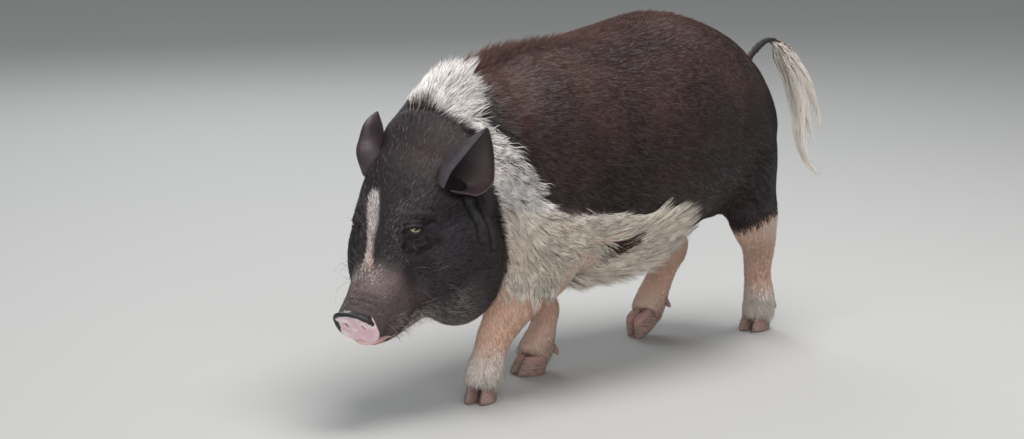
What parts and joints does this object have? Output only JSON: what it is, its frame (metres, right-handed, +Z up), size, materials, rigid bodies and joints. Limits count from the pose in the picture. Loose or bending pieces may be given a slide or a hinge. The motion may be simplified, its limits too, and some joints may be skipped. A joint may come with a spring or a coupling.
{
  "type": "domestic pig",
  "caption": "Pot-bellied domestic pig in mid-walk, head low, dark with a white bristly collar and belly, pale legs and a tufted tail.",
  "frame": {"origin": "on the floor, under the middle of the whole animal's box", "axes": "-Y the way the pig walks, +X to the pig's left, +Z up"},
  "size_m": [0.349, 1.1349, 0.5334],
  "materials": {
    "dark_coat": "short dark hair",
    "dark_face": "short blue-black hair on skin",
    "white_hair": "long white bristles",
    "pale_leg": "pink skin under white hair",
    "nose": "bare pink skin",
    "claw": "worn horn",
    "eye": "wet amber eye"
  },
  "bodies": {
    "root": {"torso": "dark_coat", "neck": "white_hair", "head": "dark_face", "ear_left": "dark_face", "ear_right": "dark_face", "eye_left": "eye", "eye_right": "eye", "snout": "nose", "tail": "white_hair", "foreleg_left": "pale_leg", "foreleg_right": "pale_leg", "hindleg_left": "pale_leg", "hindleg_right": "pale_leg", "claw_foreleg_left_left": "claw", "claw_foreleg_left_right": "claw", "claw_foreleg_right_left": "claw", "claw_foreleg_right_right": "claw", "claw_hindleg_left_left": "claw", "claw_hindleg_left_right": "claw", "claw_hindleg_right_left": "claw", "claw_hindleg_right_right": "claw", "dewclaw_foreleg_left_left": "claw", "dewclaw_foreleg_left_right": "claw", "dewclaw_foreleg_right_left": "claw", "dewclaw_foreleg_right_right": "claw", "dewclaw_hindleg_left_left": "claw", "dewclaw_hindleg_left_right": "claw", "dewclaw_hindleg_right_left": "claw", "dewclaw_hindleg_right_right": "claw"}
  },
  "joints": []
}
